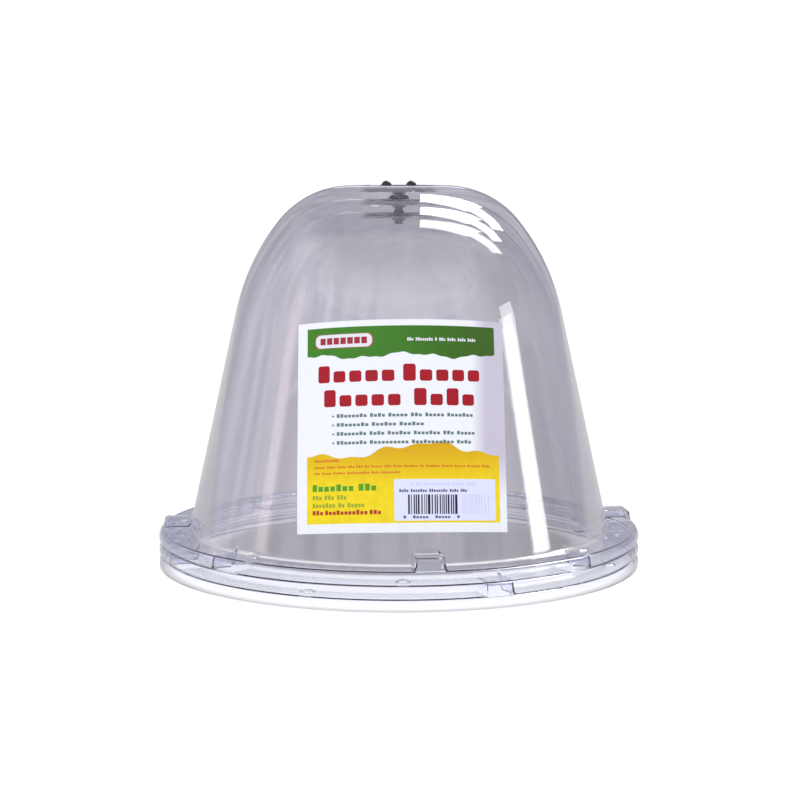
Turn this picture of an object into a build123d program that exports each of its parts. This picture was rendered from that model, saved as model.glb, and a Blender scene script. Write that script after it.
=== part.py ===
from build123d import *
import math
import os

# A nested stack of three clear garden bells, each with a turning vent, and a printed label on the top bell.
#
# Every bell is one formed sheet: a flat crown with a round recess for the vent, a shoulder, a tapering wall,
# a flange and a rim.  Four raised lugs on each flange carry the bell above.
# Lengths are in millimetres, angles in degrees.
# The frame's origin is the middle of the stack's foot, with +Z up and -Y the front, where the label is.

# The formed sheet
RIM_RADIUS = 165.0  # a 13 inch bell
BELL_HEIGHT = 241.0
SHEET = 1.0
CROWN_RADIUS = 32.0  # the flat of the crown ends here
SHOULDER_RADIUS = 64.0  # the tighter arc, next to the crown
SHOULDER_ANGLE = 51.5
HAUNCH_RADIUS = 149.0  # the wider arc, down to the straight wall
WALL_DRAFT = 12.5
WALL_FOOT_FILLET = 4.0
RIM_HEIGHT = 7.6
RIM_CORNER = 1.8  # rounds the flange's edge over into the rim
RIM_BULGE = 6.0  # radius of the rim's outward curve
RIM_WAIST = 3.1  # height of the rim's widest place

# The nest: each bell's flange stands on the lugs of the bell below, turned so that no two lugs meet
NEST_PITCH = 8.7
LUG_COUNT = 4
LUG_HEIGHT = NEST_PITCH - SHEET
LUG_WIDTH = 20.0
LUG_LEAN = 12.0  # how far the lug's outer face leans back
LUG_EDGE = 159.4  # radius of the centre of the lug's rounded edge
LUG_FOOT_FILLET = 6.0  # between the lug's top and the wall
PEG_MARK_RADIUS = 4.0
PEG_MARK_HEIGHT = 0.8
PEG_MARK_CIRCLE = 151.0

# The vent
RECESS_RADIUS = 25.6
RECESS_DEPTH = 2.8
RECESS_EDGE = 1.2
RECESS_ROOT = 0.4
WINDOW_COUNT = 4
WINDOW_INNER = 12.8
WINDOW_OUTER = 21.5
WINDOW_ANGLE = 40.0
VENT_TRAVEL = 45.0
STOP_RADIUS = 1.3
STOP_DEPTH = 1.7  # how far the disc's notch is cut in for the stop
STOP_OFFSET = 22.0  # from the knobs' line to the stop, when shut
STOP_SLACK = 1.0
DISC_RADIUS = 24.7
DISC_THICKNESS = 1.5
DISC_LIFT = 0.1
PIN_RADIUS = 2.75
PIN_PLAY = 0.1
PIN_HEAD_RADIUS = 4.2
PIN_HEAD = 0.6
PIN_LENGTH = 6.7
PIN_CHAMFER = 0.6
WASHER_RADIUS = 4.6
WASHER_THICKNESS = 1.2
KNOB_RADIUS = 3.65
KNOB_HEIGHT = 4.3
KNOB_SPREAD = 8.4
SPIGOT_RADIUS = 1.5

# The label and its sticker, on the front of the top bell's wall
LABEL_WIDTH = 138.0
LABEL_HEIGHT = 134.0
LABEL_SHEET = 0.2
LABEL_TOP = 158.5  # height of the top edge's middle above its bell's foot
LABEL_TILT = 0.5
LABEL_TURN = 0.6  # how far the label sits round to the right
STICKER_WIDTH = 66.0
STICKER_HEIGHT = 26.0
STICKER_SHEET = 0.15
STICKER_CENTRE = (27.8, -113.7)  # across and up from the middle of the label's top edge

# Each bell of the nest from the bottom up: its name, how far its first lug is turned from the front, and
# how far the line through its knobs is turned from the right
BELLS = [("bottom", 23.0, 90.0), ("middle", 46.0, 115.0), ("top", 7.0, 0.0)]
FRONT = -90.0
FULL_TURN = 360.0
SAME_POINT = 1e-6
QUARTER = 90.0


def polar(centre, radius, angle):
    """The point at that radius and angle from centre, with the angle from +X."""
    turn = math.radians(angle)
    return (centre[0] + radius * math.cos(turn), centre[1] + radius * math.sin(turn))


def arc(centre, radius, start, end):
    """An arc about centre between two angles."""
    middle = (start + end) / 2
    points = [polar(centre, radius, angle) for angle in (start, middle, end)]
    return ThreePointArc(*points)


def wall_points():
    """The centres of the shoulder's two arcs, and where the straight wall starts, on the outer face."""
    shoulder = (CROWN_RADIUS, BELL_HEIGHT - SHOULDER_RADIUS)
    haunch = polar(shoulder, SHOULDER_RADIUS - HAUNCH_RADIUS, QUARTER - SHOULDER_ANGLE)
    return shoulder, haunch, polar(haunch, HAUNCH_RADIUS, WALL_DRAFT)


def wall_radius(height):
    """Radius of the outer face of the straight wall at a height."""
    _, _, start = wall_points()
    return start[0] + (start[1] - height) * math.tan(math.radians(WALL_DRAFT))


def rim_edge(depth):
    """The flange's rounded edge and the bulging rim under it, down to the foot."""
    bulge = (RIM_RADIUS - RIM_BULGE, RIM_WAIST)
    rise = RIM_HEIGHT - RIM_CORNER - RIM_WAIST
    meet = math.degrees(math.asin(rise / (RIM_BULGE - RIM_CORNER)))
    corner = polar(bulge, RIM_BULGE - RIM_CORNER, meet)
    foot_angle = -math.degrees(math.asin(RIM_WAIST / (RIM_BULGE - depth)))
    return [arc(corner, RIM_CORNER - depth, QUARTER, meet), arc(bulge, RIM_BULGE - depth, meet, foot_angle)]


def lug_edge(depth):
    """The lug's rounded edge and its leaning outer face, down into the rim."""
    corner_height = RIM_HEIGHT + LUG_HEIGHT - RIM_CORNER
    rounded = arc((LUG_EDGE, corner_height), RIM_CORNER - depth, QUARTER, LUG_LEAN)
    start = rounded @ 1
    drop = start.Y - RIM_WAIST
    foot = (start.X + drop * math.tan(math.radians(LUG_LEAN)), RIM_WAIST)
    return [rounded, Line((start.X, start.Y), foot)]


def filled_section(depth, flange, fillet_radius, edge):
    """Half section of the bell filled in, depth inside the outer face.

    The flange is at that height, with a fillet between it and the wall.
    """
    draft = math.radians(WALL_DRAFT)
    shoulder, haunch, _ = wall_points()
    floor = BELL_HEIGHT - RECESS_DEPTH
    root = (RECESS_RADIUS - RECESS_ROOT, floor + RECESS_ROOT)
    crown_edge = (RECESS_RADIUS + RECESS_EDGE, BELL_HEIGHT - RECESS_EDGE)
    fillet_height = flange + fillet_radius
    fillet = (wall_radius(fillet_height) + fillet_radius / math.cos(draft), fillet_height)
    curves = [
        arc(root, RECESS_ROOT + depth, -QUARTER, 0),
        arc(crown_edge, RECESS_EDGE - depth, 2 * QUARTER, QUARTER),
        arc(shoulder, SHOULDER_RADIUS - depth, QUARTER, QUARTER - SHOULDER_ANGLE),
        arc(haunch, HAUNCH_RADIUS - depth, QUARTER - SHOULDER_ANGLE, WALL_DRAFT),
        arc(fillet, fillet_radius + depth, 2 * QUARTER + WALL_DRAFT, 3 * QUARTER),
        *edge,
    ]
    foot = curves[-1] @ 1
    lines = [Line((0, floor - depth), curves[0] @ 0)]
    for before, after in zip(curves, curves[1:]):
        if (before @ 1 - after @ 0).length > SAME_POINT:
            lines.append(Line(before @ 1, after @ 0))
    lines.append(Line(foot, (0, foot.Y)))
    lines.append(Line((0, foot.Y), (0, floor - depth)))
    return make_face(Curve() + curves + lines)


def turned(section, start=0.0, sweep=FULL_TURN):
    """A half section swept about the vertical axis, from a start angle."""
    upright = Plane.XZ * section
    return Rot(0, 0, start) * revolve(upright, Axis.Z, sweep)


def column(radius, bottom, height, x=0.0, y=0.0):
    """An upright cylinder standing at that height."""
    standing = (Align.CENTER, Align.CENTER, Align.MIN)
    return Pos(x, y, bottom) * Cylinder(radius, height, align=standing)


def filled_bell(depth, turn):
    """The bell filled in, with its lugs and peg marks, depth inside the outer face."""
    solid = turned(filled_section(depth, RIM_HEIGHT, WALL_FOOT_FILLET, rim_edge(depth)))
    raised = filled_section(depth, RIM_HEIGHT + LUG_HEIGHT, LUG_FOOT_FILLET, lug_edge(depth))
    reach = math.degrees((LUG_WIDTH / 2 - depth) / LUG_EDGE)
    for place in range(LUG_COUNT):
        middle = FRONT + turn + place * FULL_TURN / LUG_COUNT
        solid += turned(raised, middle - reach, 2 * reach)
        x, y = polar((0, 0), PEG_MARK_CIRCLE, middle + FULL_TURN / LUG_COUNT / 2)
        mark_height = PEG_MARK_HEIGHT + SHEET
        solid += column(PEG_MARK_RADIUS - depth, RIM_HEIGHT - depth - SHEET, mark_height, x, y)
    return solid


def windows(turn, bottom, height):
    """The vent's openings as solids to cut away."""
    cutters = []
    for place in range(WINDOW_COUNT):
        start = turn - WINDOW_ANGLE / 2 + place * FULL_TURN / WINDOW_COUNT
        end = start + WINDOW_ANGLE
        outline = Curve() + [
            arc((0, 0), WINDOW_OUTER, start, end),
            Line(polar((0, 0), WINDOW_OUTER, end), polar((0, 0), WINDOW_INNER, end)),
            arc((0, 0), WINDOW_INNER, end, start),
            Line(polar((0, 0), WINDOW_INNER, start), polar((0, 0), WINDOW_OUTER, start)),
        ]
        cutters.append(Pos(0, 0, bottom) * extrude(make_face(outline), height))
    return cutters


def shut_angle(turn, knob_line):
    """Where the knobs' line points when the disc covers the windows, which line up with the lugs."""
    return knob_line + (turn - knob_line) % (FULL_TURN / WINDOW_COUNT)


def shell(turn, knob_line):
    """The formed sheet, with the vent's windows, pin hole and stop."""
    sheet = filled_bell(0, turn) - filled_bell(SHEET, turn)
    floor = BELL_HEIGHT - RECESS_DEPTH
    for cutter in windows(FRONT + turn, floor - 2 * SHEET, 3 * SHEET):
        sheet -= cutter
    sheet -= column(PIN_RADIUS + PIN_PLAY, floor - 2 * SHEET, 3 * SHEET)
    angle = shut_angle(turn, knob_line) + STOP_OFFSET
    x, y = polar((0, 0), RECESS_RADIUS, angle)
    stop_height = RECESS_DEPTH - RECESS_EDGE / 2
    stop = column(STOP_RADIUS, floor - SHEET / 2, stop_height + SHEET / 2, x, y)
    return sheet + stop


def vent_disc(knob_line):
    """The shutter: a disc with its own windows, seats for the pin and knobs, and a notch for the stop."""
    bottom = BELL_HEIGHT - RECESS_DEPTH + DISC_LIFT
    top = bottom + DISC_THICKNESS
    disc = column(DISC_RADIUS, bottom, DISC_THICKNESS)
    for cutter in windows(knob_line + VENT_TRAVEL, bottom - SHEET, DISC_THICKNESS + 2 * SHEET):
        disc -= cutter
    disc -= column(PIN_RADIUS, bottom, DISC_THICKNESS)
    disc -= column(PIN_HEAD_RADIUS, top - PIN_HEAD, PIN_HEAD)
    for side in (0, 2 * QUARTER):
        x, y = polar((0, 0), KNOB_SPREAD, knob_line + side)
        disc -= column(SPIGOT_RADIUS, bottom, DISC_THICKNESS, x, y)
    room = math.degrees(STOP_RADIUS / DISC_RADIUS) + STOP_SLACK
    start = knob_line + STOP_OFFSET - room
    end = start + VENT_TRAVEL + 2 * room
    inner = DISC_RADIUS - STOP_DEPTH
    outer = DISC_RADIUS + STOP_DEPTH
    outline = Curve() + [
        arc((0, 0), outer, start, end),
        Line(polar((0, 0), outer, end), polar((0, 0), inner, end)),
        arc((0, 0), inner, end, start),
        Line(polar((0, 0), inner, start), polar((0, 0), outer, start)),
    ]
    return disc - Pos(0, 0, bottom - SHEET) * extrude(make_face(outline), DISC_THICKNESS + 2 * SHEET)


def knob(angle):
    """A domed finger knob, with a spigot pressed through the disc."""
    top = BELL_HEIGHT - RECESS_DEPTH + DISC_LIFT + DISC_THICKNESS
    side = KNOB_HEIGHT - KNOB_RADIUS
    section = make_face(
        Curve()
        + [
            Line((0, 0), (KNOB_RADIUS, 0)),
            Line((KNOB_RADIUS, 0), (KNOB_RADIUS, side)),
            arc((0, side), KNOB_RADIUS, 0, QUARTER),
            Line((0, KNOB_HEIGHT), (0, 0)),
        ]
    )
    x, y = polar((0, 0), KNOB_SPREAD, angle)
    spigot = column(SPIGOT_RADIUS, top - DISC_THICKNESS, DISC_THICKNESS, x, y)
    return Pos(x, y, top) * turned(section) + spigot


def pivot_pin():
    """The pin the disc turns with: a flush head, and a shank down through the crown."""
    top = BELL_HEIGHT - RECESS_DEPTH + DISC_LIFT + DISC_THICKNESS
    shank = column(PIN_RADIUS, top - PIN_LENGTH, PIN_LENGTH)
    shank = chamfer(shank.edges().sort_by(Axis.Z)[0], PIN_CHAMFER)
    return shank + column(PIN_HEAD_RADIUS, top - PIN_HEAD, PIN_HEAD)


def washer():
    """The push-on washer that keeps the pin in, under the crown."""
    under = BELL_HEIGHT - RECESS_DEPTH - SHEET - PIN_PLAY
    bottom = under - WASHER_THICKNESS
    return column(WASHER_RADIUS, bottom, WASHER_THICKNESS) - column(PIN_RADIUS, bottom, WASHER_THICKNESS)


def on_wall(across, up, proud):
    """Where a point of the label's flat sheet lands when it is wrapped round the wall, proud of its face.

    The sheet's point is given from the middle of its top edge, before the label is tilted and turned.
    """
    tilt = math.radians(LABEL_TILT)
    draft = math.radians(WALL_DRAFT)
    tilted_across = across * math.cos(tilt) - up * math.sin(tilt)
    tilted_up = across * math.sin(tilt) + up * math.cos(tilt)
    slant_to_top = (wall_radius(LABEL_TOP) + proud / math.cos(draft)) / math.sin(draft)
    slant = math.hypot(tilted_across, slant_to_top - tilted_up)
    round_angle = math.degrees(math.atan2(tilted_across, slant_to_top - tilted_up) / math.sin(draft))
    x, y = polar((0, 0), slant * math.sin(draft), FRONT + LABEL_TURN + round_angle)
    return x, y, LABEL_TOP - (slant - slant_to_top) * math.cos(draft)


def wrapped_sheet(centre, width, height, proud, thickness):
    """A flat rectangle wrapped round the wall, with its middle at centre, across and up on the label."""
    draft = math.radians(WALL_DRAFT)
    across, up = centre
    low = LABEL_TOP + up - height
    high = LABEL_TOP + up + height
    inner = proud / math.cos(draft)
    outer = (proud + thickness) / math.cos(draft)
    band = make_face(Polyline(
        (wall_radius(low) + inner, low), (wall_radius(low) + outer, low),
        (wall_radius(high) + outer, high), (wall_radius(high) + inner, high), close=True,
    ))
    left, right = across - width / 2, across + width / 2
    bottom, top = up - height / 2, up + height / 2
    loop = [
        (left, top), (across, top), (right, top), (right, up),
        (right, bottom), (across, bottom), (left, bottom), (left, up),
    ]
    seen = [Vector(x, z) for x, _, z in (on_wall(u, v, proud) for u, v in loop)]
    edges = [Spline(seen[0], seen[1], seen[2]), Line(seen[2], seen[4])]
    edges += [Spline(seen[4], seen[5], seen[6]), Line(seen[6], seen[0])]
    outline = Plane.XZ * make_face(Curve() + edges)
    return turned(band, FRONT - QUARTER / 2, QUARTER) & extrude(outline, 2 * RIM_RADIUS, both=True)


def label():
    """The printed label."""
    return wrapped_sheet((0, -LABEL_HEIGHT / 2), LABEL_WIDTH, LABEL_HEIGHT, 0, LABEL_SHEET)


def sticker():
    """The small sticker on the label."""
    return wrapped_sheet(STICKER_CENTRE, STICKER_WIDTH, STICKER_HEIGHT, LABEL_SHEET, STICKER_SHEET)


def bell_nodes(name, turn, knob_line):
    """The separate pieces of one bell, standing on its own foot."""
    return {
        f"{name}_shell": shell(turn, knob_line),
        f"{name}_vent_disc": vent_disc(knob_line),
        f"{name}_knob_a": knob(knob_line),
        f"{name}_knob_b": knob(knob_line + 2 * QUARTER),
        f"{name}_pivot_pin": pivot_pin(),
        f"{name}_washer": washer(),
    }


def main():
    os.makedirs("parts", exist_ok=True)
    for level, (name, turn, knob_line) in enumerate(BELLS):
        for node, solid in bell_nodes(name, turn, knob_line).items():
            export_step(Pos(0, 0, level * NEST_PITCH) * solid, f"parts/{node}.step")
    top = (len(BELLS) - 1) * NEST_PITCH
    export_step(Pos(0, 0, top) * label(), "parts/label_sheet.step")
    export_step(Pos(0, 0, top) * sticker(), "parts/barcode_sticker.step")


main()
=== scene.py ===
import bpy
import math
import random
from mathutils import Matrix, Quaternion, Vector, noise


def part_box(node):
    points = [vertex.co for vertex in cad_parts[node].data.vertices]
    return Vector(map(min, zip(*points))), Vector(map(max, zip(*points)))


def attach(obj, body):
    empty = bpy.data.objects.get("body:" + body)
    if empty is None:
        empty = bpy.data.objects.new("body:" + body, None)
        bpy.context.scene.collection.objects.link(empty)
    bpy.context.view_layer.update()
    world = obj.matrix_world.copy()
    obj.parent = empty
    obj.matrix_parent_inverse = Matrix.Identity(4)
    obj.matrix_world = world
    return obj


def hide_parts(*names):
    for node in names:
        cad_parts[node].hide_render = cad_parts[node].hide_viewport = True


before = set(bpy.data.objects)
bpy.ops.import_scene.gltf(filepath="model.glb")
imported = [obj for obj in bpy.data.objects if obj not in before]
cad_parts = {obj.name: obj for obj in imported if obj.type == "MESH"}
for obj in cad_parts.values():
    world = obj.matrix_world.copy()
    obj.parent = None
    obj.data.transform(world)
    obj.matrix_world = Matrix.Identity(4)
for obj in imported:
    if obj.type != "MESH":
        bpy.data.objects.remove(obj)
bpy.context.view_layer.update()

# A nested stack of three clear garden bells with black vents, and a printed label on the top bell.
# Lengths are in metres, written in millimetres times MM; angles are in degrees.

MM = 0.001
FULL_TURN = 360.0
QUARTER = 90.0
FRONT = -90.0

# From the frame
BELLS = ("bottom", "middle", "top")
LOW, HIGH = {}, {}
for bell in BELLS:
    LOW[bell], HIGH[bell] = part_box(f"{bell}_shell")
RIM_RADIUS = HIGH["top"].x
BELL_HEIGHT = HIGH["top"].z - LOW["top"].z
TOP_FOOT = LOW["top"].z
NEST_PITCH = LOW["middle"].z - LOW["bottom"].z

# The formed sheet, as the CAD has it
SHEET = 1.0 * MM
CROWN_RADIUS = 32.0 * MM
SHOULDER_RADIUS = 64.0 * MM
SHOULDER_ANGLE = 51.5
HAUNCH_RADIUS = 149.0 * MM
WALL_DRAFT = 12.5
DRAFT = math.radians(WALL_DRAFT)
WALL_FOOT_FILLET = 4.0 * MM
LUG_FOOT_FILLET = 6.0 * MM
RIM_HEIGHT = 7.6 * MM
RIM_CORNER = 1.8 * MM
RIM_BULGE = 6.0 * MM
RIM_WAIST = 3.1 * MM
LUG_GAP = 0.12 * MM  # keeps a lug's clear top just off the flange that rests on it
LUG_HEIGHT = NEST_PITCH - SHEET - LUG_GAP
LUG_WIDTH = 20.0 * MM
LUG_LEAN = 12.0
LUG_EDGE = 159.4 * MM
PEG_MARK_RADIUS = 4.0 * MM
PEG_MARK_HEIGHT = 0.8 * MM
PEG_MARK_CIRCLE = 151.0 * MM
RECESS_RADIUS = 25.6 * MM
RECESS_DEPTH = 2.8 * MM
RECESS_EDGE = 1.2 * MM
RECESS_ROOT = 0.4 * MM
WINDOW_INNER = 12.8 * MM
WINDOW_OUTER = 21.5 * MM
WINDOW_ANGLE = 40.0
PIN_HOLE = 2.85 * MM
STOP_RADIUS = 1.3 * MM
STOP_OFFSET = 22.0

# How finely the sheet is meshed, and how its lugs, marks and waviness are shaped
FOOT_ZONE = 26.0 * MM  # below this height the lugs change the section
FOOT_RINGS = 52
LUG_CORNER_START = 80.0  # where a lug's outer face meets the rim's rounded corner
LUG_BLEND = 2.0 * MM
MARK_BLEND = 0.8 * MM
MARK_ZONE = 1.2 * RIM_HEIGHT  # the peg marks raise only what is below this height
WAVE_HEIGHT = 0.10 * MM
WAVE_LENGTH = 55.0 * MM
WAVE_SHIFT = 7.0  # so that no two bells wave alike
SHARP_ANGLE = 50.0

# The flange's blue: the name it is kept under, and where it sets in past the wall and round rounded edges
RIM_SHARE = "rim_share"
FLANGE_BLUE_START = 4.0 * MM
EDGE_BLUE_REACH = 3.2 * MM
EDGE_BLUE_START = 1.2 * MM
RIM_CORNER_OUT = 3.2 * MM  # how far outside the bulge's centre the rim's rounded corner has its own

# The studio
LIGHT_DISTANCE = 6.0
BACKDROP_STRENGTH = 1.05
HORIZON = (0.50, 0.51)  # where the room changes from its pale lower half to the grey one, from 0 to 1
CURTAIN_FACING = (-0.50, -0.86, 0.0)
CURTAIN_SIDE = (-0.35, 0.10)
CURTAIN_TOP = (0.95, 0.80)
CURTAIN_STRENGTH = 1.1
CURTAIN_RAGGEDNESS = 0.25
SHADE_WIDTH, SHADE_DEPTH = 140 * MM, 115 * MM  # half the size of the painted shade on the floor inside the bells
SHADE_BACK = 60 * MM
SHADE_GLOW, SHADE_EDGE = (0.30, 1.05), (0.88, 1.10)
CONTACT_SHADOW_GLOW, CONTACT_SHADOW_EDGE = (1.0, 0.42), (156 * MM, 165 * MM)  # a painted contact shadow where the rim stands on the floor
FLOOR_DROP = 0.05 * MM
FLOOR_SEGMENTS = 96
CAMERA_LENS = 89.06
CAMERA_SENSOR = 36.0
CAMERA_ASIDE = 0.8 * MM
CAMERA_DISTANCE = 1353 * MM
CAMERA_ABOVE = 15.5 * MM  # above the top of the object
CAMERA_TILT = 6.85
CLEAR_BOUNCES = 40  # light passes many clear faces before it comes out of the nest
GLOSSY_BOUNCES = 16

# How far each bell's first lug is turned from the front, and where its vent's stop is, from +X
LUG_TURN = {"bottom": 23.0, "middle": 46.0, "top": 7.0}
STOP_ANGLE = {"bottom": 113.0 + STOP_OFFSET, "middle": 136.0 + STOP_OFFSET, "top": 7.0 + STOP_OFFSET}

# The label, as the CAD has it
LABEL_WIDTH = 138.0 * MM
LABEL_HEIGHT = 134.0 * MM
LABEL_SHEET = 0.2 * MM
LABEL_TOP = 158.5 * MM
LABEL_TILT = math.radians(0.5)
LABEL_TURN = 0.6
STICKER_WIDTH = 66.0 * MM
STICKER_HEIGHT = 26.0 * MM
STICKER_SHEET = 0.15 * MM
STICKER_CENTRE = (27.8 * MM, -113.7 * MM)
LABEL_GAP = 0.02 * MM  # keeps the paper's back just off the wall
BAR_END = 0.02 * MM  # half the height that a rounded bar has at its very ends
INK = 0.02 * MM


# ---------------------------------------------------------------- curves

def polar(centre, radius, angle):
    """The point at that radius and angle from centre, with the angle from +X."""
    turn = math.radians(angle)
    return centre[0] + radius * math.cos(turn), centre[1] + radius * math.sin(turn)


def arc(centre, radius, start, end, steps):
    """Points along an arc, both ends included."""
    return [polar(centre, radius, start + (end - start) * i / steps) for i in range(steps + 1)]


def resample(path, count):
    """That many points, evenly spaced along a path."""
    lengths = [0.0]
    for before, after in zip(path, path[1:]):
        lengths.append(lengths[-1] + math.dist(before, after))
    points, leg = [], 0
    for i in range(count):
        along = lengths[-1] * i / (count - 1)
        while leg < len(path) - 2 and lengths[leg + 1] < along:
            leg += 1
        share = (along - lengths[leg]) / (lengths[leg + 1] - lengths[leg])
        points.append(tuple(a + (b - a) * share for a, b in zip(path[leg], path[leg + 1])))
    return points


def smooth_step(value):
    """0 below 0, 1 above 1 and a smooth ramp between."""
    value = min(max(value, 0.0), 1.0)
    return value * value * (3 - 2 * value)


# ---------------------------------------------------------------- the formed sheet

def wall_points():
    """The centres of the shoulder's two arcs, and where the straight wall starts, on the outer face."""
    shoulder = (CROWN_RADIUS, BELL_HEIGHT - SHOULDER_RADIUS)
    haunch = polar(shoulder, SHOULDER_RADIUS - HAUNCH_RADIUS, QUARTER - SHOULDER_ANGLE)
    return shoulder, haunch, polar(haunch, HAUNCH_RADIUS, WALL_DRAFT)


def wall_radius(height):
    """Radius of the outer face of the straight wall at a height."""
    _, _, start = wall_points()
    return start[0] + (start[1] - height) * math.tan(DRAFT)


def foot_path(depth, flange, fillet_radius, edge):
    """The section from the wall to the rim, depth inside the outer face, with its flange at that height."""
    height = flange + fillet_radius
    fillet = (wall_radius(height) + fillet_radius / math.cos(DRAFT), height)
    start = (wall_radius(FOOT_ZONE) - depth / math.cos(DRAFT), FOOT_ZONE)
    turn = arc(fillet, fillet_radius + depth, 2 * QUARTER + WALL_DRAFT, 3 * QUARTER, 12)
    return resample([start] + turn + edge, FOOT_RINGS)


def foot_rings(depth):
    """Pairs of section points from the wall to the rim's bulge: on the plain flange, and on a lug."""
    bulge = (RIM_RADIUS - RIM_BULGE, RIM_WAIST)
    rise = RIM_HEIGHT - RIM_CORNER - RIM_WAIST
    meet = math.degrees(math.asin(rise / (RIM_BULGE - RIM_CORNER)))
    corner = polar(bulge, RIM_BULGE - RIM_CORNER, meet)
    steps = 7
    plain_corner = arc(corner, RIM_CORNER - depth, QUARTER, meet, steps)
    raised_corner = arc(corner, RIM_CORNER - depth, LUG_CORNER_START, meet, steps)
    lug_corner = (LUG_EDGE, RIM_HEIGHT + LUG_HEIGHT - RIM_CORNER)
    lug_edge = arc(lug_corner, RIM_CORNER - depth, QUARTER, LUG_LEAN, 8) + raised_corner[:1]
    plain = foot_path(depth, RIM_HEIGHT, WALL_FOOT_FILLET, plain_corner[:1]) + plain_corner[1:]
    raised = foot_path(depth, RIM_HEIGHT + LUG_HEIGHT, LUG_FOOT_FILLET, lug_edge) + raised_corner[1:]
    return list(zip(plain, raised)), meet


def sheet_rings(depth):
    """A bell's section from the pin's hole to the foot, as pairs, and the radii of the vent floor's rings.

    Each pair is the plain point and the lug's point.
    """
    shoulder, haunch, wall_top = wall_points()
    floor = BELL_HEIGHT - RECESS_DEPTH
    radii = [PIN_HOLE, 5.5 * MM, 9.0 * MM, WINDOW_INNER, 17.2 * MM, WINDOW_OUTER, 23.6 * MM]
    rings = [(radius, floor - depth) for radius in radii]
    rings += arc((RECESS_RADIUS - RECESS_ROOT, floor + RECESS_ROOT), RECESS_ROOT + depth, -QUARTER, 0, 5)
    crown_edge = (RECESS_RADIUS + RECESS_EDGE, BELL_HEIGHT - RECESS_EDGE)
    rings += arc(crown_edge, RECESS_EDGE - depth, 2 * QUARTER, QUARTER, 6)
    rings += [(29.0 * MM, BELL_HEIGHT - depth)]
    turn = QUARTER - SHOULDER_ANGLE
    rings += arc(shoulder, SHOULDER_RADIUS - depth, QUARTER, turn, 22)
    rings += arc(haunch, HAUNCH_RADIUS - depth, turn, WALL_DRAFT, 14)[1:]
    inset = depth / math.cos(DRAFT)
    steps = 12
    for i in range(1, steps):
        height = wall_top[1] + (FOOT_ZONE - wall_top[1]) * i / steps
        rings.append((wall_radius(height) - inset, height))
    pairs, meet = foot_rings(depth)
    pairs = [(point, point) for point in rings] + pairs
    bulge = (RIM_RADIUS - RIM_BULGE, RIM_WAIST)
    foot = -math.degrees(math.asin(RIM_WAIST / (RIM_BULGE - depth)))
    pairs += [(point, point) for point in arc(bulge, RIM_BULGE - depth, meet, foot, 12)[1:]]
    return pairs, radii


def from_nearest(angle, step=QUARTER):
    """The angle from the nearest multiple of a step, which is from the nearest lug for a quarter turn."""
    return (angle + step / 2) % step - step / 2


def rim_share(point, lug_point, angle):
    """How much of the flange's blue a section point has: none on the wall, most on rounded edges."""
    on_lug = math.radians(abs(from_nearest(angle))) * LUG_EDGE < LUG_WIDTH / 2 + LUG_BLEND
    radius, height = lug_point if on_lug else point
    flange = smooth_step((radius - wall_radius(RIM_HEIGHT)) / FLANGE_BLUE_START)
    corner = (RIM_RADIUS - RIM_BULGE + RIM_CORNER_OUT, RIM_HEIGHT - RIM_CORNER)
    lug_corner = (LUG_EDGE, RIM_HEIGHT + LUG_HEIGHT - RIM_CORNER)
    near = math.dist((radius, height), corner)
    if on_lug:
        near = min(near, math.dist((radius, height), lug_corner))
    return 0.5 * flange + 0.5 * smooth_step((EDGE_BLUE_REACH - near) / EDGE_BLUE_START)


def column_angles():
    """Angles round a bell from its first lug, close together at the lugs' sides and round the peg marks."""
    stretches = [(0, 2.9, 3), (2.9, 4.3, 8), (4.3, 7, 2), (7, 20, 6), (20, 41, 8), (41, 43, 2), (43, 45, 7)]
    half = [start + (end - start) * i / steps for start, end, steps in stretches for i in range(steps)]
    quadrant = [-QUARTER / 2] + [-angle for angle in reversed(half[1:])] + half
    return [angle + place * QUARTER for place in range(4) for angle in quadrant]


def sheet_point(point, lug_point, angle, depth, bell):
    """Where a section point goes at an angle from the bell's first lug, in the frame."""
    from_lug = from_nearest(angle)
    half_width = LUG_WIDTH / 2 - depth
    aside = math.radians(abs(from_lug)) * LUG_EDGE
    lift = smooth_step((half_width - aside) / LUG_BLEND + 0.5)
    radius, height = (a + (b - a) * lift for a, b in zip(point, lug_point))
    past_mark = math.radians(QUARTER / 2 - abs(from_lug)) * PEG_MARK_CIRCLE
    from_mark = math.hypot(radius - PEG_MARK_CIRCLE, past_mark)
    if height < MARK_ZONE:
        height += PEG_MARK_HEIGHT * smooth_step((PEG_MARK_RADIUS - depth - from_mark) / MARK_BLEND + 0.5)
    turned = FRONT + LUG_TURN[bell] + angle
    from_stop = from_nearest(turned - STOP_ANGLE[bell], FULL_TURN)
    if depth == 0 and abs(radius - RECESS_RADIUS) < RECESS_EDGE and height > BELL_HEIGHT - RECESS_DEPTH:
        aside = math.radians(from_stop) * RECESS_RADIUS
        radius -= math.sqrt(max(STOP_RADIUS ** 2 - aside ** 2, 0))
    x, y = polar((0, 0), radius, turned)
    seat = Vector((x, y, height))
    sway = noise.noise(seat / WAVE_LENGTH + Vector((0, 0, BELLS.index(bell) * WAVE_SHIFT)))
    swell = WAVE_HEIGHT * sway * smooth_step((radius - CROWN_RADIUS) / CROWN_RADIUS)
    x, y = polar((0, 0), radius + swell, turned)
    return x, y, height + LOW[bell].z


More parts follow.
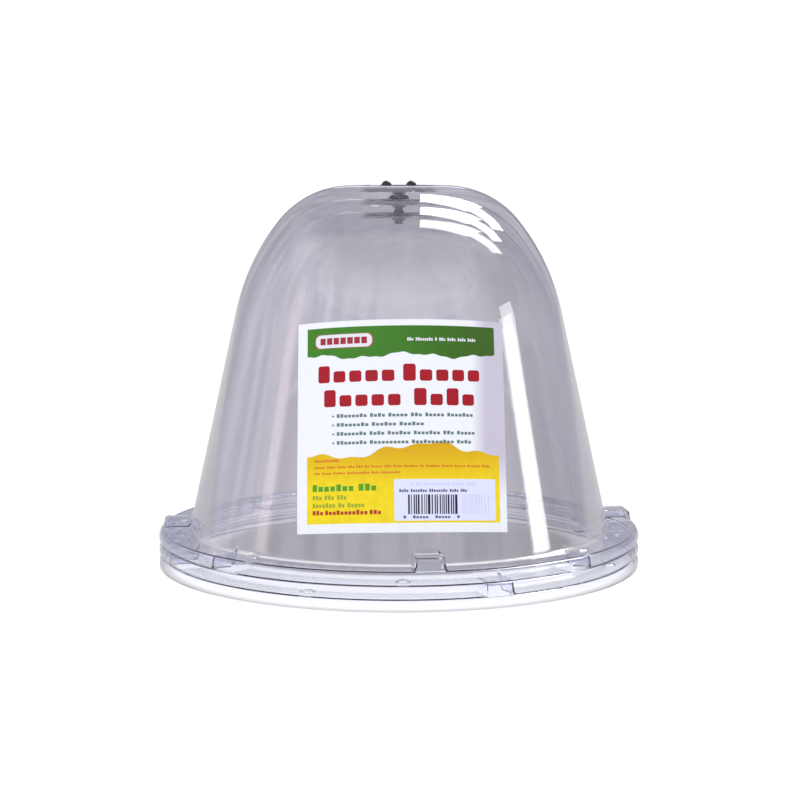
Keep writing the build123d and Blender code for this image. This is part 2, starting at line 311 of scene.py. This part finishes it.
def sheet_mesh(bell):
    """A closed mesh of one bell's formed sheet: outer face, inner face, and walls along every open edge."""
    angles = column_angles()
    outer, radii = sheet_rings(0)
    inner, _ = sheet_rings(SHEET)
    columns, rings = len(angles), len(outer)
    points = []
    for depth, pairs in ((0, outer), (SHEET, inner)):
        for pair in pairs:
            points += [sheet_point(*pair, angle, depth, bell) for angle in angles]

    def cell_open(i, j):
        """True where the sheet is cut away for a vent window, or past either end of the section."""
        if i < 0 or i >= rings - 1:
            return True
        next_angle = angles[(j + 1) % columns] + (FULL_TURN if j % columns == columns - 1 else 0)
        middle = (angles[j % columns] + next_angle) / 2
        cut = radii.index(WINDOW_INNER) <= i < radii.index(WINDOW_OUTER)
        return cut and abs(from_nearest(middle)) < WINDOW_ANGLE / 2

    def corner(side, i, j):
        """The number of a point on the outer face (0) or the inner face (1)."""
        return side * rings * columns + i * columns + j % columns

    faces = []
    shares = [rim_share(*pair, angle) for pairs in (outer, inner) for pair in pairs for angle in angles]
    for i in range(rings - 1):
        for j in range(columns):
            if cell_open(i, j):
                continue
            ring = [(i, j), (i, j + 1), (i + 1, j + 1), (i + 1, j)]
            faces.append([corner(0, *c) for c in reversed(ring)])
            faces.append([corner(1, *c) for c in ring])
            sides = [((i - 1, j), 0), ((i, j + 1), 1), ((i + 1, j), 2), ((i, j - 1), 3)]
            for neighbour, k in sides:
                if cell_open(*neighbour):
                    a, b = ring[k], ring[(k + 1) % 4]
                    faces.append([corner(0, *a), corner(0, *b), corner(1, *b), corner(1, *a)])
    return points, faces, shares


def new_piece(name, points, faces, material, body):
    """A smooth-shaded mesh object that rides on a body."""
    mesh = bpy.data.meshes.new(name)
    mesh.from_pydata(points, [], faces)
    mesh.validate()
    mesh.update()
    mesh.materials.append(material)
    mesh.shade_smooth()
    mesh.set_sharp_from_angle(angle=math.radians(SHARP_ANGLE))
    piece = bpy.data.objects.new(name, mesh)
    bpy.context.scene.collection.objects.link(piece)
    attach(piece, body)
    return piece


# ---------------------------------------------------------------- materials

def new_material(name, **values):
    """A material with one Principled shader, and its node tree and shader."""
    material = bpy.data.materials.new(name)
    material.use_nodes = True
    shader = material.node_tree.nodes["Principled BSDF"]
    for socket, value in values.items():
        shader.inputs[socket.replace("_", " ")].default_value = value
    return material, material.node_tree, shader


def feed(tree, socket, given):
    """Sets a socket to a value, or links another node's output to it."""
    if isinstance(given, bpy.types.NodeSocket):
        tree.links.new(given, socket)
    else:
        socket.default_value = given


def object_noise(tree, scale, stretch=(1, 1, 1), detail=4.0, rough=0.55, space="Object"):
    """A noise's value on object coordinates, or another space's, stretched along the axes."""
    place = tree.nodes.new("ShaderNodeTexCoord")
    mapping = tree.nodes.new("ShaderNodeMapping")
    mapping.inputs["Scale"].default_value = stretch
    texture = tree.nodes.new("ShaderNodeTexNoise")
    texture.inputs["Scale"].default_value = scale
    texture.inputs["Detail"].default_value = detail
    texture.inputs["Roughness"].default_value = rough
    tree.links.new(place.outputs[space], mapping.inputs["Vector"])
    tree.links.new(mapping.outputs["Vector"], texture.inputs["Vector"])
    return texture.outputs["Fac"]


def spread(tree, source, low, high, start=0.3, end=0.7):
    """Remaps a value between start and end to a range from low to high, and holds it there past them."""
    remap = tree.nodes.new("ShaderNodeMapRange")
    for socket, value in (("From Min", start), ("From Max", end), ("To Min", low), ("To Max", high)):
        remap.inputs[socket].default_value = value
    tree.links.new(source, remap.inputs["Value"])
    return remap.outputs["Result"]


def maths(tree, operation, *given, kind="Math"):
    """The value of a maths node, from numbers and other nodes' outputs."""
    node = tree.nodes.new(f"ShaderNode{kind}")
    node.operation = operation
    for socket, value in zip(node.inputs, given):
        feed(tree, socket, value)
    return node.outputs["Value"]


def mixed(tree, share, first, second, blend="MIX"):
    """Two colours blended by a share, each a colour or another node's output."""
    node = tree.nodes.new("ShaderNodeMix")
    node.data_type = "RGBA"
    node.blend_type = blend
    for socket, value in (("Factor", share), ("A", first), ("B", second)):
        feed(tree, node.inputs[socket], value)
    return node.outputs["Result"]


def ramp(tree, source, stops):
    """The colour that a value picks from a ramp with those stops: (position, colour)."""
    node = tree.nodes.new("ShaderNodeValToRGB")
    for element, (position, colour) in zip(node.color_ramp.elements, (stops[0], stops[-1])):
        element.position, element.color = position, (*colour, 1)
    for position, colour in stops[1:-1]:
        node.color_ramp.elements.new(position).color = (*colour, 1)
    tree.links.new(source, node.inputs["Fac"])
    return node.outputs["Color"]


def add_bump(tree, shader, height, strength, distance):
    """Bumps on the surface, from a height."""
    bump = tree.nodes.new("ShaderNodeBump")
    bump.inputs["Strength"].default_value = strength
    bump.inputs["Distance"].default_value = distance
    tree.links.new(height, bump.inputs["Height"])
    tree.links.new(bump.outputs["Normal"], shader.inputs["Normal"])


def mottled(tree, source, dark, light):
    """A colour that runs from dark to light with a noise."""
    return mixed(tree, spread(tree, source, 0, 1), (*dark, 1), (*light, 1))


def clear_sheet_material():
    """Clear formed plastic: faintly lavender walls, a bluer flange and edges, with haze and ripples."""
    material, tree, shader = new_material("clear_sheet", Transmission_Weight=1.0, IOR=1.5)
    share = tree.nodes.new("ShaderNodeAttribute")
    share.attribute_name = RIM_SHARE
    tint = ramp(tree, share.outputs["Fac"], (
        (0.0, (0.955, 0.950, 0.962)), (0.5, (0.930, 0.943, 0.980)), (1.0, (0.90, 0.905, 0.985)),
    ))
    tree.links.new(tint, shader.inputs["Base Color"])
    haze = object_noise(tree, 22.0, (1, 1, 0.14), 5.0, 0.6)
    tree.links.new(spread(tree, haze, 0.0, 0.014, 0.40, 0.8), shader.inputs["Roughness"])
    ripple = object_noise(tree, 14.0, (1, 1, 0.2), 2.0, 0.4)
    add_bump(tree, shader, ripple, 0.10, 1.0 * MM)
    return material


def black_plastic_material():
    """Glossy moulded black plastic with a fine mould texture and handling marks."""
    material, tree, shader = new_material("black_plastic", IOR=1.5)
    mottle = object_noise(tree, 320.0)
    colour = mottled(tree, mottle, (0.008, 0.008, 0.009), (0.022, 0.022, 0.025))
    tree.links.new(colour, shader.inputs["Base Color"])
    tree.links.new(spread(tree, mottle, 0.12, 0.32), shader.inputs["Roughness"])
    grain = object_noise(tree, 2400.0, detail=2.0)
    add_bump(tree, shader, grain, 0.2, 0.05 * MM)
    return material


def print_material(name, colour, shade=0.06, rough=(0.30, 0.44), far_colour=None, fade=None, above=None):
    """Printed, coated paper: slightly mottled ink over fine fibre.

    With far_colour, the ink fades to it along the object's axis and between the places that fade gives.
    With above, that fade itself sets in between those two heights. On the label's paper this fade is
    painted shade.
    """
    material, tree, shader = new_material(name, IOR=1.45, Specular_IOR_Level=0.28)
    mottle = object_noise(tree, 160.0)
    dark = tuple(c * (1 - shade) for c in colour)
    light = tuple(min(c * (1 + shade), 1) for c in colour)
    ink = mottled(tree, mottle, dark, light)
    if far_colour:
        axis, start, end = fade
        place = tree.nodes.new("ShaderNodeTexCoord")
        split = tree.nodes.new("ShaderNodeSeparateXYZ")
        tree.links.new(place.outputs["Object"], split.inputs["Vector"])
        share = spread(tree, split.outputs[axis], 0, 1, start, end)
        if above:
            share = maths(tree, "MULTIPLY", share, spread(tree, split.outputs["Z"], 0, 1, *above))
        ink = mixed(tree, share, ink, (*far_colour, 1))
    tree.links.new(ink, shader.inputs["Base Color"])
    tree.links.new(spread(tree, mottle, *rough), shader.inputs["Roughness"])
    fibre = object_noise(tree, 1900.0, detail=3.0)
    add_bump(tree, shader, fibre, 0.15, 0.04 * MM)
    return material


# ---------------------------------------------------------------- the label

def on_wall(across, up, proud):
    """Where a point of the label's flat sheet lands on the top bell, proud of its wall.

    The sheet's point is given from the middle of the label's top edge, before its tilt and turn.
    """
    tilted_across = across * math.cos(LABEL_TILT) - up * math.sin(LABEL_TILT)
    tilted_up = across * math.sin(LABEL_TILT) + up * math.cos(LABEL_TILT)
    slant_to_top = (wall_radius(LABEL_TOP) + proud / math.cos(DRAFT)) / math.sin(DRAFT)
    slant = math.hypot(tilted_across, slant_to_top - tilted_up)
    round_angle = math.degrees(math.atan2(tilted_across, slant_to_top - tilted_up) / math.sin(DRAFT))
    x, y = polar((0, 0), slant * math.sin(DRAFT), FRONT + LABEL_TURN + round_angle)
    return x, y, TOP_FOOT + LABEL_TOP - (slant - slant_to_top) * math.cos(DRAFT)


class Film:
    """Closed thin shapes wrapped on the wall, gathered into one mesh."""

    def __init__(self, proud, thickness, across_step=2.0 * MM, up_step=12.0 * MM):
        self.inner, self.outer = proud, proud + thickness
        self.across_step, self.up_step = across_step, up_step
        self.points, self.faces = [], []

    def shape(self, columns):
        """A shape given by its columns from left to right: (across, bottom, top)."""
        tallest = max(top - bottom for _, bottom, top in columns)
        rows = max(1, math.ceil(tallest / self.up_step))
        base, count = len(self.points), rows + 1
        for proud in (self.inner, self.outer):
            for across, bottom, top in columns:
                for row in range(count):
                    up = bottom + (top - bottom) * row / rows
                    self.points.append(on_wall(across, up, proud))
        side = len(columns) * count

        def corner(layer, column, row):
            """The number of a point on the back (0) or the front (1)."""
            return base + layer * side + column * count + row

        last = len(columns) - 1
        for column in range(last):
            for row in range(rows):
                ring = [(column, row), (column + 1, row), (column + 1, row + 1), (column, row + 1)]
                self.faces.append([corner(1, *c) for c in ring])
                self.faces.append([corner(0, *c) for c in reversed(ring)])
            for row, flip in ((0, False), (rows, True)):
                quad = [corner(0, column, row), corner(0, column + 1, row)]
                quad += [corner(1, column + 1, row), corner(1, column, row)]
                self.faces.append(quad[::-1] if flip else quad)
        for row in range(rows):
            for column, flip in ((0, True), (last, False)):
                quad = [corner(0, column, row), corner(0, column, row + 1)]
                quad += [corner(1, column, row + 1), corner(1, column, row)]
                self.faces.append(quad[::-1] if flip else quad)

    def band(self, left, right, bottom, top):
        """A shape between two edges, each a height or a function of the distance across."""
        steps = max(1, math.ceil((right - left) / self.across_step))
        columns = []
        for i in range(steps + 1):
            across = left + (right - left) * i / steps
            low = bottom(across) if callable(bottom) else bottom
            high = top(across) if callable(top) else top
            columns.append((across, low, high))
        self.shape(columns)

    def bar(self, left, right, bottom, top, radius=None):
        """A bar with rounded ends."""
        radius = (top - bottom) / 2 if radius is None else radius
        radius = min(radius, (right - left) / 2, (top - bottom) / 2)
        steps_of_end = 5
        ends = [radius * (1 - math.cos(math.pi / 2 * i / steps_of_end)) for i in range(steps_of_end + 1)]
        steps = max(1, math.ceil((right - left - 2 * radius) / self.across_step))
        middle = [left + radius + (right - left - 2 * radius) * i / steps for i in range(1, steps)]
        places = [left + end for end in ends] + middle + [right - end for end in reversed(ends)]
        columns = []
        for across in places:
            inside = min(across - left, right - across, radius)
            trim = radius - math.sqrt(max(radius ** 2 - (radius - inside) ** 2, 0))
            trim = min(trim, (top - bottom) / 2 - BAR_END)
            columns.append((across, bottom + trim, top - trim))
        self.shape(columns)

    def words(self, left, right, base, height, lengths, gap, tall=1.35, radius=0.0, break_share=0.24):
        """Plain blocks in place of words of so many letters, some of them taller, standing on base."""
        pitch = (right - left - gap * (len(lengths) - 1)) / sum(lengths)
        for length in lengths:
            for place in range(length):
                rise = height * (tall if place == 0 or (place * length) % 5 == 3 else 1)
                end = left + pitch * (1 - break_share)
                if radius:
                    self.bar(left, end, base, base + rise, radius)
                else:
                    self.band(left, end, base, base + rise)
                left += pitch
            left += gap

    def piece(self, name, material, slot):
        """The gathered mesh as an object that rides on the top bell."""
        return new_piece(name, self.points, self.faces, material, "top_bell")


def ridge(base, *waves):
    """A wavy edge: base plus waves of (height, length, shift)."""
    def edge(across):
        """The edge's height at a distance across."""
        turns = [(size, across / length + shift) for size, length, shift in waves]
        return base + sum(size * math.sin(2 * math.pi * turn) for size, turn in turns)
    return edge


def label_pieces():
    """The paper, its coloured bands, and plain blocks in place of the words."""
    half = LABEL_WIDTH / 2
    paper = Film(LABEL_GAP, LABEL_SHEET - LABEL_GAP, up_step=6 * MM)
    paper.band(-half, half, -LABEL_HEIGHT, 0)
    # Painted shade: the paper fades to a lavender grey towards its right edge, above a height
    paper_ink = print_material(
        "paper", (0.92, 0.955, 0.95), 0.015, far_colour=(0.63, 0.59, 0.68), fade=("X", 46 * MM, 55 * MM),
        above=(62 * MM, 88 * MM)
    )
    sheet = paper.piece("label_paper", paper_ink, "label_paper")
    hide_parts("label_sheet")

    left, right = -62 * MM, 62.5 * MM
    hill = ridge(-22.6 * MM, (1.3 * MM, 61 * MM, 0.2), (0.8 * MM, 23 * MM, 0.3), (0.35 * MM, 9 * MM, 0.0))
    green = Film(LABEL_SHEET - INK, 2 * INK)
    green.band(left, right, hill, ridge(-3.9 * MM))
    green_ink = print_material(
        "green_ink", (0.055, 0.235, 0.018), far_colour=(0.045, 0.125, 0.010), fade=("X", -20 * MM, 58 * MM)
    )
    green.piece("label_top_band", green_ink, "label_paper")

    waves = (4.2 * MM, 110 * MM, 0.1), (1.1 * MM, 35 * MM, 0.57), (1.0 * MM, 20 * MM, 0.82)
    dune = ridge(-82.4 * MM, *waves)
    yellow = Film(LABEL_SHEET - INK, 2 * INK)
    yellow.band(left, right + 1.5 * MM, -128.0 * MM, dune)
    yellow_ink = print_material(
        "yellow_ink", (0.95, 0.74, 0.012), far_colour=(0.72, 0.39, 0.006), fade=("Z", 70 * MM, 101 * MM)
    )
    yellow.piece("label_lower_field", yellow_ink, "label_paper")

    rim = Film(LABEL_SHEET, INK)
    rim.bar(-56.4 * MM, -17.6 * MM, -17.4 * MM, -7.8 * MM, 4.0 * MM)
    rim.piece("label_badge_rim", print_material("badge_rim_ink", (0.55, 0.10, 0.09)), "label_paper")
    white = Film(LABEL_SHEET, 2 * INK)
    white.bar(-55.8 * MM, -18.2 * MM, -16.8 * MM, -8.4 * MM, 3.6 * MM)
    white.words(4 * MM, 49 * MM, -13.6 * MM, 1.5 * MM, (3, 8, 1, 3, 4, 4, 4), 1.2 * MM)
    white.piece("label_white_print", print_material("white_ink", (0.84, 0.84, 0.88), 0.02), "label_paper")

    red = Film(LABEL_SHEET - INK, 2.5 * INK)
    red.words(-54 * MM, 53.5 * MM, -39.0 * MM, 7.2 * MM, (5, 5), 3.0 * MM, 1.5, 1.6 * MM)
    red.words(-50 * MM, 49.5 * MM, -54.4 * MM, 7.2 * MM, (5, 4), 6.0 * MM, 1.5, 1.6 * MM)
    red.piece("label_title_blocks", print_material("red_ink", (0.40, 0.008, 0.018)), "label_paper")

    slate = Film(LABEL_SHEET - INK, 2.5 * INK)
    lines = (
        (46.5, (8, 4, 5, 3, 5, 7)), (14.5, (8, 6, 6)),
        (47.5, (8, 4, 6, 7, 3, 5)), (45, (8, 10, 11, 4)),
    )
    for line, (end, lengths) in enumerate(lines):
        base = -61.4 * MM - line * 5.65 * MM
        slate.bar(-44.6 * MM, -43.2 * MM, base + 0.4 * MM, base + 1.6 * MM)
        slate.words(-41.5 * MM, end * MM, base, 1.7 * MM, lengths, 1.6 * MM)
    slate.piece("label_list_blocks", print_material("slate_ink", (0.15, 0.22, 0.20)), "label_paper")

    orange = Film(LABEL_SHEET, 2 * INK)
    orange.words(-56.5 * MM, -40 * MM, -89.2 * MM, 1.4 * MM, (13,), 0)
    long_line = (5, 4, 4, 3, 3, 2, 5, 3, 4, 6, 2, 6, 5, 5, 6, 4)
    orange.words(-56.5 * MM, 57.5 * MM, -93.2 * MM, 1.1 * MM, long_line, 1.0 * MM)
    orange.words(-56.5 * MM, -1 * MM, -97.0 * MM, 1.1 * MM, (3, 5, 6, 11, 4, 9), 1.0 * MM)
    orange.piece("label_orange_blocks", print_material("orange_ink", (0.70, 0.20, 0.012)), "label_paper")
    rust = Film(LABEL_SHEET, 2 * INK)
    rust.words(-58 * MM, -13 * MM, -122.4 * MM, 2.1 * MM, (3, 11, 3), 0.8 * MM)
    rust.piece("label_rust_blocks", print_material("rust_ink", (0.46, 0.05, 0.02)), "label_paper")

    badge = Film(LABEL_SHEET + INK, 2 * INK)
    badge.words(-52.5 * MM, -20.5 * MM, -14.7 * MM, 4.2 * MM, (7,), 0, 1.0, break_share=0.2)
    badge.piece("label_badge_blocks", print_material("badge_ink", (0.38, 0.03, 0.05)), "label_paper")

    leaf = Film(LABEL_SHEET, 2 * INK)
    leaf.words(-58 * MM, -15.5 * MM, -107.6 * MM, 3.1 * MM, (7, 3), 2.4 * MM, 1.4)
    leaf.piece("label_green_blocks", print_material("leaf_ink", (0.09, 0.38, 0.02)), "label_paper")
    olive = Film(LABEL_SHEET, 2 * INK)
    olive.words(-58 * MM, -35 * MM, -112.9 * MM, 2.1 * MM, (3, 3, 3), 1.6 * MM)
    olive.words(-58 * MM, -23.5 * MM, -117.8 * MM, 2.1 * MM, (7, 2, 5), 1.6 * MM)
    olive.piece("label_olive_blocks", print_material("olive_ink", (0.36, 0.44, 0.03)), "label_paper")


def sticker_pieces():
    """The sticker, its stripes in no real code, and plain blocks in place of the words."""
    across, up = STICKER_CENTRE
    half_width, half_height = STICKER_WIDTH / 2, STICKER_HEIGHT / 2
    paper = Film(LABEL_SHEET, STICKER_SHEET)
    paper.bar(across - half_width, across + half_width, up - half_height, up + half_height, 1.0 * MM)
    paper_ink = print_material("sticker", (0.80, 0.83, 0.97), 0.015)
    sheet = paper.piece("sticker_paper", paper_ink, "sticker_paper")
    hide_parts("barcode_sticker")

    dice = random.Random(5)
    stripes = Film(LABEL_SHEET + STICKER_SHEET - INK, 2.5 * INK)
    place = 3.4 * MM
    while place < 33.5 * MM:
        width = dice.choice((0.5, 0.8, 1.1, 1.6)) * MM
        stripes.band(place, place + width, -122.6 * MM, -110.4 * MM)
        place += width + dice.choice((0.5, 0.6, 0.8, 1.1)) * MM
    stripes.piece("sticker_stripes", print_material("stripe_ink", (0.02, 0.02, 0.05)), "sticker_paper")
    words = Film(LABEL_SHEET + STICKER_SHEET - INK, 2.3 * INK)
    words.words(-2 * MM, 41.5 * MM, -108.8 * MM, 1.4 * MM, (4, 7, 8, 4, 3), 1.2 * MM)
    words.words(0.5 * MM, 36.5 * MM, -125.2 * MM, 1.3 * MM, (1, 5, 5, 1), 4.0 * MM)
    words.piece("sticker_blocks", print_material("sticker_ink", (0.12, 0.12, 0.24)), "sticker_paper")

    faint = Film(LABEL_SHEET + STICKER_SHEET - INK, 2.2 * INK)
    place = 38 * MM
    while place < 56 * MM:
        faint.band(place, place + 0.6 * MM, -122.5 * MM, -110.4 * MM)
        place += dice.choice((1.2, 1.6, 2.3)) * MM
    faint.words(5 * MM, 48 * MM, -104.6 * MM, 1.6 * MM, (4, 10, 5, 4), 1.2 * MM)
    faint.piece("sticker_ghost_stripes", print_material("ghost_ink", (0.68, 0.70, 0.92)), "sticker_paper")


# ---------------------------------------------------------------- studio

def area_light(name, azimuth, elevation, spans, radiance, colour=(1, 1, 1), roll=0, diffuse_only=False):
    """A soft box aimed at the middle of the bells.

    Azimuth 0 is in front, and 90 to the right. The spans are the angles that it fills, seen from the bells.
    """
    target = Vector((0, 0, BELL_HEIGHT / 2))
    turn, rise = math.radians(azimuth), math.radians(elevation)
    away = Vector((math.sin(turn) * math.cos(rise), -math.cos(turn) * math.cos(rise), math.sin(rise)))
    data = bpy.data.lights.new(name, "AREA")
    data.shape = "RECTANGLE"
    data.size, data.size_y = (2 * LIGHT_DISTANCE * math.tan(math.radians(span / 2)) for span in spans)
    data.energy = radiance * math.pi * data.size * data.size_y
    data.color = colour
    light = bpy.data.objects.new(name, data)
    light.location = target + away * LIGHT_DISTANCE
    aim = away.to_track_quat("Z", "Y") @ Quaternion((0, 0, 1), math.radians(roll))
    light.rotation_euler = aim.to_euler()
    light.visible_camera = False
    light.visible_glossy = not diffuse_only
    light.visible_transmission = not diffuse_only
    bpy.context.scene.collection.objects.link(light)


def soft_window(name, azimuth, elevation, spans, radiance, colour=(1, 1, 1), roll=0):
    """A window that fades at its edges: three lights on one centre, each smaller than the last."""
    shares = (1.0, 0.84, 0.62)
    for layer, share in enumerate(shares):
        inner = [span * share for span in spans]
        area_light(f"{name}_{layer}", azimuth, elevation, inner, radiance / len(shares), colour, roll)


def studio_lights():
    """Windows and curtains that the clear walls reflect, and two lights that only brighten matt faces."""
    warm_white, peach, cool = (1.0, 0.99, 0.97), (1.0, 0.80, 0.72), (0.78, 0.90, 1.0)
    soft_window("window_right", 83.0, 10.0, (11.5, 21.0), 11.0, warm_white)
    area_light("window_behind", 153.4, 50.9, (20.4, 19.0), 8.0, warm_white, roll=27.7)
    area_light("window_behind_end", 132.6, 42.4, (19.0, 10.5), 8.0, warm_white, roll=42.8)
    soft_window("curtain_left", -80, 18, (7.5, 28.0), 2.2, peach)
    soft_window("curtain_left_cool", -53.5, 26, (4.5, 17.0), 2.2, cool)
    area_light("backdrop_glow", 180, 12, (9.7, 2.6), 1.0, cool)
    area_light("key_front", -25, 38, (38, 38), 2.0, diffuse_only=True)
    area_light("top_fill", 0, 88, (53, 53), 0.9, diffuse_only=True)


def room_light(tree):
    """The room's colour and strength: pale below, grey above in soft folds, with a bright curtain."""
    place = tree.nodes.new("ShaderNodeTexCoord").outputs["Generated"]
    split = tree.nodes.new("ShaderNodeSeparateXYZ")
    tree.links.new(place, split.inputs["Vector"])
    level = spread(tree, split.outputs["Z"], 0, 1, -1, 1)
    above = spread(tree, level, 0, 1, *HORIZON)
    folds = object_noise(tree, 1.5, (4.0, 4.0, 0.7), rough=0.5, space="Generated")
    height = ramp(tree, level, (
        (0.0, (0.62, 0.61, 0.64)), (0.495, (0.62, 0.61, 0.64)), (0.505, (0.42, 0.42, 0.49)),
        (0.60, (0.38, 0.37, 0.44)), (0.80, (0.42, 0.42, 0.48)), (1.0, (0.55, 0.55, 0.60)),
    ))
    streaks = ramp(tree, folds, (
        (0.32, (0.55, 0.56, 0.62)), (0.44, (0.80, 0.80, 0.84)), (0.52, (1.15, 1.17, 1.12)),
        (0.60, (1.00, 0.98, 1.05)), (0.68, (1.60, 1.46, 1.40)),
    ))
    front_left = maths(tree, "DOT_PRODUCT", place, CURTAIN_FACING, kind="VectorMath")
    curtain_top = maths(tree, "MULTIPLY_ADD", folds, CURTAIN_RAGGEDNESS, split.outputs["Z"])
    below_top = spread(tree, curtain_top, 0, 1, *CURTAIN_TOP)
    curtain = maths(tree, "MULTIPLY", below_top, spread(tree, front_left, 0, 1, *CURTAIN_SIDE))
    lit = maths(tree, "MULTIPLY", curtain, above)
    strength = maths(tree, "MULTIPLY_ADD", lit, CURTAIN_STRENGTH, 1.0)
    return mixed(tree, above, height, streaks, "MULTIPLY"), strength


def studio_world():
    """White behind the object, and a room for everything it reflects and refracts."""
    world = bpy.data.worlds.new("studio")
    bpy.context.scene.world = world
    world.use_nodes = True
    tree = world.node_tree
    tree.nodes.clear()
    output = tree.nodes.new("ShaderNodeOutputWorld")
    choose = tree.nodes.new("ShaderNodeMixShader")
    path = tree.nodes.new("ShaderNodeLightPath")
    colour, strength = room_light(tree)
    backgrounds = ((colour, strength), ((1, 1, 1, 1), BACKDROP_STRENGTH))
    for socket, (given_colour, given_strength) in zip((choose.inputs[1], choose.inputs[2]), backgrounds):
        background = tree.nodes.new("ShaderNodeBackground")
        feed(tree, background.inputs["Color"], given_colour)
        feed(tree, background.inputs["Strength"], given_strength)
        tree.links.new(background.outputs["Background"], socket)
    tree.links.new(path.outputs["Is Camera Ray"], choose.inputs["Fac"])
    tree.links.new(choose.outputs["Shader"], output.inputs["Surface"])


def studio_floor():
    """A plain white glowing floor under the object, its glow dimmed into painted shade inside the bells and
    a painted contact shadow where the rim stands on it.
    """
    angles = [FULL_TURN * i / FLOOR_SEGMENTS for i in range(FLOOR_SEGMENTS)]
    points = [(*polar((0, 0), RIM_RADIUS, angle), -FLOOR_DROP) for angle in angles]
    mesh = bpy.data.meshes.new("floor")
    mesh.from_pydata(points, [], [list(range(FLOOR_SEGMENTS))])
    material, tree, shader = new_material("floor", Base_Color=(0.3, 0.3, 0.3, 1), Roughness=0.6)
    shader.inputs["Emission Color"].default_value = (1, 1, 1, 1)
    place = tree.nodes.new("ShaderNodeTexCoord")
    shade = tree.nodes.new("ShaderNodeMapping")
    shade.inputs["Location"].default_value = (0, -SHADE_BACK / SHADE_DEPTH, 0)
    shade.inputs["Scale"].default_value = (1 / SHADE_WIDTH, 1 / SHADE_DEPTH, 1)
    tree.links.new(place.outputs["Object"], shade.inputs["Vector"])
    inside = maths(tree, "LENGTH", shade.outputs["Vector"], kind="VectorMath")
    radius = maths(tree, "LENGTH", place.outputs["Object"], kind="VectorMath")
    # Painted shade: the glow is dimmed inside the bells and in a thin ring where the rim stands
    shaded = spread(tree, inside, *SHADE_GLOW, *SHADE_EDGE)
    painted_contact_shadow = spread(tree, radius, *CONTACT_SHADOW_GLOW, *CONTACT_SHADOW_EDGE)
    glow = maths(tree, "MULTIPLY", shaded, painted_contact_shadow)
    tree.links.new(glow, shader.inputs["Emission Strength"])
    mesh.materials.append(material)
    floor = bpy.data.objects.new("floor", mesh)
    bpy.context.scene.collection.objects.link(floor)


def studio_camera():
    """A long lens a little above the crown, tilted down."""
    data = bpy.data.cameras.new("camera")
    data.lens = CAMERA_LENS
    data.sensor_width = CAMERA_SENSOR
    camera = bpy.data.objects.new("camera", data)
    camera.location = (CAMERA_ASIDE, -CAMERA_DISTANCE, HIGH["top"].z + CAMERA_ABOVE)
    camera.rotation_euler = (math.radians(QUARTER - CAMERA_TILT), 0, 0)
    bpy.context.scene.collection.objects.link(camera)
    bpy.context.scene.camera = camera


def bell_pieces():
    """The clear sheet of each bell in place of its shell, and black plastic on its vent's parts."""
    clear = clear_sheet_material()
    black = black_plastic_material()
    for bell in BELLS:
        points, faces, shares = sheet_mesh(bell)
        piece = new_piece(f"{bell}_formed_sheet", points, faces, clear, f"{bell}_bell")
        piece.data.attributes.new(RIM_SHARE, "FLOAT", "POINT").data.foreach_set("value", shares)
        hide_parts(f"{bell}_shell")
        for part in ("vent_disc", "knob_a", "knob_b", "pivot_pin", "washer"):
            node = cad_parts[f"{bell}_{part}"]
            for place in node.material_slots:
                place.material = black


def build():
    """Everything in the picture, and how its light is worked out."""
    bell_pieces()
    label_pieces()
    sticker_pieces()
    studio_world()
    studio_floor()
    studio_lights()
    studio_camera()
    scene = bpy.context.scene
    scene.view_settings.view_transform = "Standard"
    scene.cycles.max_bounces = CLEAR_BOUNCES
    scene.cycles.transmission_bounces = CLEAR_BOUNCES
    scene.cycles.glossy_bounces = GLOSSY_BOUNCES


build()
